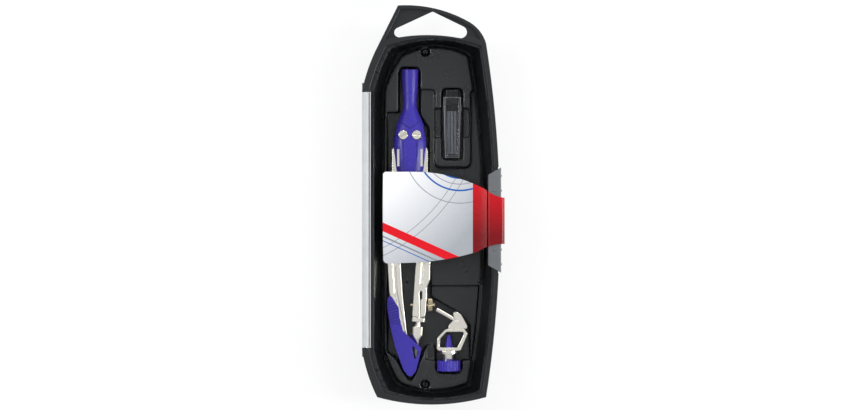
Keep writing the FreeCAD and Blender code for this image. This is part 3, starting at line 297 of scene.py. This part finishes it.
def case_plastic(name, rim_colour, shaded_wall_colour):
    """The case's plastic: a satin slate rim, and polished walls below it, darkened with painted shade.
    """
    made = Shading(name)
    height, = made.millimetres("Z")
    wall_polish_and_shade = made.inside(height, RIM_FOOT_MM, RIM_FADE_MM)
    # the walls' darker colour is painted shade
    made.drive("Base Color", made.blend(wall_polish_and_shade, rim_colour, shaded_wall_colour))
    rough = made.value("MULTIPLY_ADD", wall_polish_and_shade, WALL_ROUGH - RIM_ROUGH, RIM_ROUGH)
    made.drive("Roughness", made.value("ADD", rough, made.wander(-CASE_SMOOTHER, CASE_ROUGHER)))
    made.fix("Specular IOR Level", CASE_SPECULAR)
    made.bump(made.noise(CASE_GRAIN_SCALE, FINE_DETAIL), CASE_GRAIN, GRAIN_DEPTH_MM, CASE_EDGE_MM)
    return made.material


def metal(name, colour, rough, edge_mm=0.4):
    """Plated metal with faint polishing lines."""
    made = Shading(name)
    made.fix("Metallic", 1.0)
    lines = made.noise(POLISH_SCALE, stretch=POLISH_STRETCH)
    made.drive("Base Color", made.blend(lines, scaled(colour, POLISH_SHADE), colour))
    made.drive("Roughness", made.spread(lines, rough - METAL_SMOOTHER, rough + METAL_ROUGHER))
    made.bump(lines, POLISH_BUMP, POLISH_DEPTH_MM, edge_mm)
    return made.material


def grooved_head(name, colour):
    """The compass head's plastic, with its pressed lines, darkened as painted shade."""
    made = Shading(name)
    across, along = made.millimetres("XY")
    side = made.value("ABSOLUTE", made.value("SUBTRACT", across, HEAD_AXIS_MM))
    vee_path = made.value("MULTIPLY_ADD", side, VEE_SLOPE, VEE_TIP_MM)
    vee_end = made.inside(side, VEE_HALF_MM, VEE_FADE_MM)
    vee = made.value("MULTIPLY", made.line(along, vee_path, GROOVE_MM), vee_end)
    tie_end = made.inside(along, TIE_TOP_MM, TIE_FADE_MM)
    tie = made.value("MULTIPLY", made.line(side, TIE_HALF_MM, TIE_MM), tie_end)
    arm_path = made.value("MULTIPLY_ADD", side, ARM_SLOPE, TIE_TOP_MM - ARM_SLOPE * TIE_HALF_MM)
    arm_span = made.line(side, TIE_HALF_MM + ARM_REACH_MM / 2, ARM_REACH_MM)
    arm = made.value("MULTIPLY", made.line(along, arm_path, GROOVE_MM), arm_span)
    marks = made.value("MAXIMUM", vee, made.value("MAXIMUM", tie, arm))
    # the darker colour in the pressed lines is painted shade
    made.drive("Base Color", made.blend(marks, colour, scaled(colour, GROOVE_SHADE)))
    made.drive("Roughness", made.wander(*HEAD_ROUGH))
    made.fix("Specular IOR Level", VIOLET_SPECULAR)
    made.bump(made.value("SUBTRACT", 1.0, marks), GROOVE_BUMP, GROOVE_DEPTH_MM, HEAD_EDGE_MM)
    return made.material


def ridged_guard(name, colour):
    """The needle guard's plastic, with its finger ridges, darkened along them as painted shade."""
    made = Shading(name)
    across, along = made.millimetres("XY")
    slant = made.value("MULTIPLY_ADD", across, RIDGE_SLANT, along)
    wave = made.value("SINE", made.value("MULTIPLY", slant, 2 * math.pi / RIDGE_PITCH_MM))
    zone = made.line(along, RIDGE_MIDDLE_MM, RIDGE_SPAN_MM)
    ridges_and_shade = made.value("MULTIPLY", made.value("MULTIPLY_ADD", wave, 0.5, 0.5), zone)
    # the darker colour along the ridges is painted shade
    made.drive("Base Color", made.blend(ridges_and_shade, colour, scaled(colour, RIDGE_SHADE)))
    made.drive("Roughness", made.wander(*GUARD_ROUGH))
    made.fix("Specular IOR Level", VIOLET_SPECULAR)
    made.bump(ridges_and_shade, RIDGE_BUMP, RIDGE_DEPTH_MM, GUARD_EDGE_MM)
    return made.material


def clear(name, colour, gloss, rough, edge_highlight=0.0, edge_mm=0.0):
    """Clear plastic: see-through, with a gloss on its surface and, where asked, a white painted
    highlight at its edges.
    """
    made = Shading(name)
    made.tree.nodes.remove(made.shader)
    through = made.add("BsdfTransparent")
    through.inputs["Color"].default_value = colour
    shine = made.add("BsdfGlossy")
    shine.inputs["Roughness"].default_value = rough
    fresnel = made.add("Fresnel")
    fresnel.inputs["IOR"].default_value = CLEAR_IOR
    shaped = [shine, fresnel]
    wander = made.wander(gloss * (1 - CLEAR_WANDER), gloss * (1 + CLEAR_WANDER), HAZE_SCALE)
    surface = made.mix(made.value("MULTIPLY", fresnel.outputs["Fac"], wander), through, shine)
    if edge_highlight:
        # a white diffuse layer at grazing edges: a painted edge highlight, though the lamps still light
        # it
        highlight_white = made.add("BsdfDiffuse")
        highlight_white.inputs["Color"].default_value = EDGE_HIGHLIGHT_COLOUR
        turn = made.add("LayerWeight")
        shaped.append(turn)
        grazing = made.value("POWER", turn.outputs["Facing"], EDGE_HIGHLIGHT_POWER)
        surface = made.mix(made.value("MULTIPLY", grazing, edge_highlight, clamp=True), surface, highlight_white)
    if edge_mm:
        normal = made.rounded(edge_mm)
        for node in shaped:
            made.join(normal, node.inputs["Normal"])
    made.join(surface.outputs[0], made.output.inputs["Surface"])
    return made.material


def printed_card(name):
    """Printed card in red, white, grey and blue: drawn arcs and bands, in frame millimetres."""
    made = Shading(name)
    across, along = made.millimetres("XY")

    def distance(x, y):
        dx = made.value("SUBTRACT", across, x)
        dy = made.value("SUBTRACT", along, y)
        squares = made.value("ADD", made.value("MULTIPLY", dx, dx), made.value("MULTIPLY", dy, dy))
        return made.value("SQRT", squares)

    inks = {
        "white": linear(244, 244, 245),
        "silver": linear(150, 154, 160),
        "grey": linear(120, 125, 132),
        "red": linear(200, 14, 28),
        "deep_red": linear(110, 6, 14),
        "blue": linear(24, 84, 158),
    }
    sweep = distance(*SWEEP_CENTRE_MM)
    fan = distance(*FAN_CENTRE_MM)
    slant = made.value("MULTIPLY_ADD", across, SLANT, along)
    fade = made.spread(made.value("DIVIDE", sweep, SWEEP_REACH_MM), 0.0, 1.0)
    field = made.blend(fade, inks["white"], inks["silver"])
    for source, marks in ((sweep, SWEEP_ARCS_MM), (fan, FAN_ARCS_MM), (slant, SLANT_BANDS_MM)):
        for middle, width, ink in marks:
            field = made.blend(made.line(source, middle, width), field, inks[ink])
    tab = made.inside(made.value("SUBTRACT", TAB_EDGE_MM, across), 0.0)
    depth = made.spread(made.value("MULTIPLY_ADD", along, TAB_FADE, TAB_MIDDLE), 0.0, 1.0)
    field = made.blend(tab, field, made.blend(depth, inks["deep_red"], inks["red"]))
    made.drive("Base Color", field)
    made.drive("Roughness", made.wander(*PAPER_ROUGH, PAPER_WANDER_SCALE))
    made.fix("Specular IOR Level", PAPER_SPECULAR)
    made.bump(made.noise(PAPER_GRAIN_SCALE, FINE_DETAIL), PAPER_BUMP, PAPER_DEPTH_MM)
    return made.material


# Looks: one for each material slot, and some pieces' own
CARD = printed_card("printed_card")
VIOLET = linear(56, 45, 150)
LOOKS = {
    # case_black: its second colour is the walls' painted shade
    "case_black": case_plastic("case_black", linear(23, 25, 28), linear(9, 10, 12)),
    "tray_charcoal": moulded("tray_charcoal", linear(26, 27, 29), rough=0.3, grain=0.02,
                             edge_mm=0.0, specular=0.45),
    "lid_clear": clear("lid_clear", (0.985, 0.99, 0.99, 1.0), gloss=0.035, rough=0.05),
    "hinge_silver": moulded("hinge_silver", linear(172, 174, 176), rough=0.42),
    "latch_grey": moulded("latch_grey", linear(88, 90, 93), rough=0.42),
    "card_print": CARD,
    "card_red": CARD,
    "violet_plastic": moulded("violet_plastic", VIOLET, rough=0.28, grain=0.02, edge_mm=0.6),
    "nickel": metal("nickel", linear(242, 236, 225), rough=0.16, edge_mm=0.6),
    "steel_pin": metal("steel_pin", linear(206, 206, 204), rough=0.22),
    "graphite": moulded("graphite", linear(112, 112, 115), rough=0.28, edge_mm=0.2),
    # smoke_clear's white edges are a painted highlight
    "smoke_clear": clear("smoke_clear", (0.9, 0.91, 0.93, 1.0), gloss=0.5, rough=0.06,
                         edge_highlight=0.95, edge_mm=1.5),
    "stopper_black": moulded("stopper_black", linear(20, 20, 22), rough=0.24, grain=0.02, edge_mm=0.5),
}
OWN_LOOKS = {
    # head_violet's darker pressed lines are painted shade
    "head_front": grooved_head("head_violet", VIOLET),
    # guard_violet's darker ridges are painted shade
    "needle_guard": ridged_guard("guard_violet", VIOLET),
    "clamp_screw": metal("clamp_brass", linear(206, 192, 160), rough=0.22),
    "compass_lead": moulded("lead_point", linear(168, 168, 170), rough=0.25, grain=0.02, edge_mm=0.2),
}
slots = {piece["node"]: piece["material_slot"] for piece in frame["record"]["subparts"]}
for name, piece in nodes.items():
    piece.data.materials.clear()
    piece.data.materials.append(OWN_LOOKS.get(name, LOOKS[slots[name]]))


def soften(piece):
    """Draws the edges of a sheet-formed piece round, as the plastic flows over its mould."""
    even = piece.modifiers.new("even", "REMESH")
    even.mode = "VOXEL"
    even.voxel_size = TRAY_GRAIN_MM * MM
    even.use_smooth_shade = True
    flow = piece.modifiers.new("flow", "SMOOTH")
    flow.factor = TRAY_PASS_FACTOR
    flow.iterations = TRAY_PASSES
    thin = piece.modifiers.new("thin", "DECIMATE")
    thin.ratio = TRAY_SHARE


soften(nodes["tray_insert"])


# Stage: a white floor, soft studio light and a camera straight above
def floor():
    """A floor that shows white, also in metal and glass, and keeps a soft shadow."""
    bpy.ops.mesh.primitive_plane_add(size=FLOOR_SIZE, location=(0, 0, -FLOOR_DROP_MM * MM))
    plane = bpy.context.object
    plane.name = "floor"
    made = Shading("floor_white")
    made.fix("Base Color", FLOOR_COLOUR)
    made.fix("Roughness", FLOOR_ROUGH)
    seen = made.add("LightPath").outputs
    mirrored = made.value("ADD", seen["Is Camera Ray"], seen["Is Glossy Ray"])
    shown = made.value("ADD", mirrored, seen["Is Transmission Ray"], clamp=True)
    glow = made.value("MULTIPLY", shown, FLOOR_GLOW)
    surface = made.mix(glow, made.shader, made.add("Emission"))
    made.join(surface.outputs[0], made.output.inputs["Surface"])
    plane.data.materials.append(made.material)


def softbox(name, place, size, power):
    """A lamp with a wide face, turned towards the part."""
    lamp = bpy.data.lights.new(name, "AREA")
    lamp.shape = "RECTANGLE"
    lamp.size, lamp.size_y = size
    lamp.energy = power
    made = bpy.data.objects.new(name, lamp)
    made.location = place
    made.rotation_euler = (-Vector(place)).to_track_quat("-Z", "Y").to_euler()
    bpy.context.scene.collection.objects.link(made)


def studio():
    """A sky that brightens from the level of the floor to the top."""
    made = bpy.data.worlds.new("studio")
    made.use_nodes = True
    tree = made.node_tree
    where = tree.nodes.new("ShaderNodeTexCoord")
    axes = tree.nodes.new("ShaderNodeSeparateXYZ")
    ramp = tree.nodes.new("ShaderNodeValToRGB")
    low, high = ramp.color_ramp.elements
    low.position, low.color = 0.0, SKY_LEVEL
    high.position, high.color = 1.0, SKY_TOP
    tree.links.new(where.outputs["Generated"], axes.inputs[0])
    tree.links.new(axes.outputs["Z"], ramp.inputs["Fac"])
    tree.links.new(ramp.outputs["Color"], tree.nodes["Background"].inputs["Color"])
    bpy.context.scene.world = made


floor()
for name, (place, size, power) in SOFTBOXES.items():
    softbox(name, place, size, power)
studio()

part_top = cad_box[1].z
lens = bpy.data.cameras.new("camera")
lens.sensor_width = SENSOR_MM
lens.lens = SENSOR_MM * CAMERA_HEIGHT / (PHOTO_WIDTH_MM * MM)
camera = bpy.data.objects.new("camera", lens)
camera.location = (PHOTO_CENTRE_MM * MM, 0.0, part_top + CAMERA_HEIGHT)
camera.rotation_euler = (0.0, 0.0, 0.0)
bpy.context.scene.collection.objects.link(camera)
bpy.context.scene.camera = camera
bpy.context.scene.view_settings.view_transform = "Standard"
